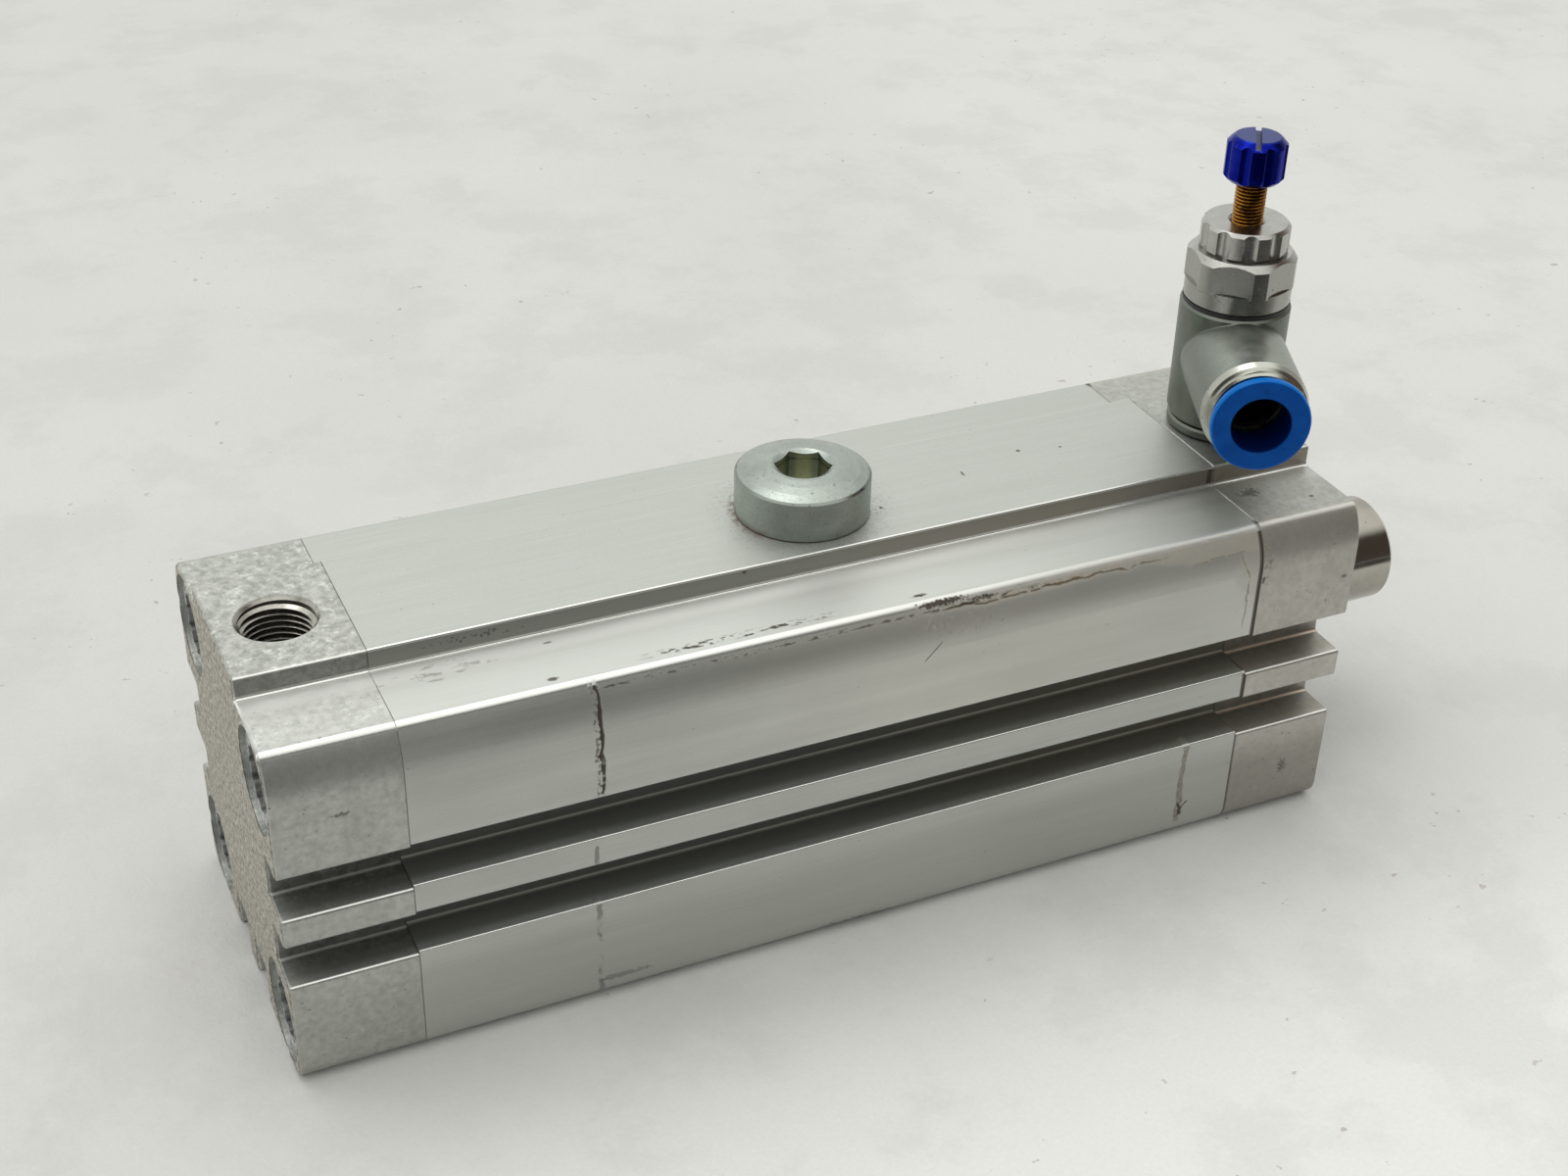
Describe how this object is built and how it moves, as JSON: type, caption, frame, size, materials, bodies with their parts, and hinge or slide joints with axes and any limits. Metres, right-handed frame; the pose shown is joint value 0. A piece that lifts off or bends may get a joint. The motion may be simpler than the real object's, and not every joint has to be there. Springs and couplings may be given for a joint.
{
  "type": "pneumatic cylinder",
  "caption": "Square compact profile cylinder with a sliding round rod, grooved sides, a plugged mid port and an adjustable one-way flow valve with push-in tube outlet.",
  "frame": {"origin": "centre of the rear face, on the axis of the bore", "axes": "+X along the bore towards the rod end, +Z towards the side with the ports"},
  "size_m": [0.1762, 0.05, 0.0964],
  "materials": {
    "anodised_profile": "clear anodised, fine drawing lines along the length",
    "die_cast_cap": "etched die casting, finely mottled",
    "zinc_screw": "zinc plated, bluish",
    "zinc_plug": "zinc plated, satin, slightly stained at the foot",
    "zinc_body": "zinc plated, satin, faintly greenish",
    "turned_aluminium": "turned and milled, bright",
    "rod_chrome": "ground and polished",
    "brass_screw": "fine thread, darkened by grease",
    "blue_anodised": "blue anodised, glossy",
    "blue_plastic": "moulded",
    "black_rubber": "matt",
    "polyurethane": "matt seal compound",
    "bearing_bronze": "sintered, plain",
    "piston_aluminium": "turned",
    "magnet_ferrite": "plastic-bonded ferrite",
    "guide_plastic": "filled acetal",
    "spring_steel": "bright"
  },
  "bodies": {
    "housing": {"barrel": "anodised_profile", "rear_cap": "die_cast_cap", "front_cap": "die_cast_cap", "rear_cap_screws": "zinc_screw", "front_cap_screws": "zinc_screw", "rear_cap_o_ring": "black_rubber", "front_cap_o_ring": "black_rubber", "rear_buffer": "polyurethane", "front_buffer": "polyurethane", "rod_bearing": "bearing_bronze", "rod_seal": "polyurethane", "port_plug": "zinc_plug", "plug_seal": "black_rubber", "hollow_bolt": "turned_aluminium", "bolt_seal_ring": "zinc_body", "stem_o_ring": "black_rubber", "swivel_upper_ring": "black_rubber", "swivel_lower_o_ring": "black_rubber", "check_seal": "black_rubber"},
    "piston_seals": {"piston_seal_rear": "polyurethane", "piston_seal_front": "polyurethane", "piston_guide_ring": "guide_plastic"},
    "rod": {"piston_rod": "rod_chrome", "piston_rear": "piston_aluminium", "piston_front": "piston_aluminium", "magnet_ring": "magnet_ferrite", "piston_screw": "zinc_screw", "rod_o_ring": "black_rubber"},
    "swivel": {"swivel_body": "zinc_body", "tube_cartridge": "zinc_body", "tube_collet": "spring_steel", "tube_seal": "black_rubber"},
    "release": {"release_ring": "blue_plastic"},
    "needle": {"flow_needle": "spring_steel"},
    "knob": {"adjusting_stem": "brass_screw", "adjusting_knob": "blue_anodised"},
    "nut": {"lock_nut": "turned_aluminium"}
  },
  "joints": [
    {"name": "rod_stroke", "type": "slide", "parent": "housing", "child": "piston_seals", "axis": [1, 0, 0], "range_m": [-0.015, 0.075]},
    {"name": "rod_turn", "type": "hinge", "parent": "piston_seals", "child": "rod", "pos_m": [0.05, 0, 0], "axis": [1, 0, 0], "continuous": true},
    {"name": "outlet_swivel", "type": "hinge", "parent": "housing", "child": "swivel", "pos_m": [0.1453, 0, 0.0398], "axis": [0, 0, 1], "continuous": true},
    {"name": "release_push", "type": "slide", "parent": "swivel", "child": "release", "axis": [0.3987, 0.9171, 0], "range_m": [0, 0.001], "stiffness_N_per_m": 400},
    {"name": "needle_travel", "type": "slide", "parent": "housing", "child": "needle", "axis": [0, 0, 1], "range_m": [-0.0045, 0.001]},
    {"name": "knob_turn", "type": "hinge", "parent": "needle", "child": "knob", "pos_m": [0.1453, 0, 0.09], "axis": [0, 0, 1], "range_deg": [-3240, 720]},
    {"name": "lock_nut_turn", "type": "hinge", "parent": "housing", "child": "nut", "pos_m": [0.1453, 0, 0.082], "axis": [0, 0, 1], "range_deg": [0, 720]}
  ],
  "couplings": [
    {"joint": "knob_turn", "follows": "needle_travel", "rad_per_m": 12566}
  ]
}
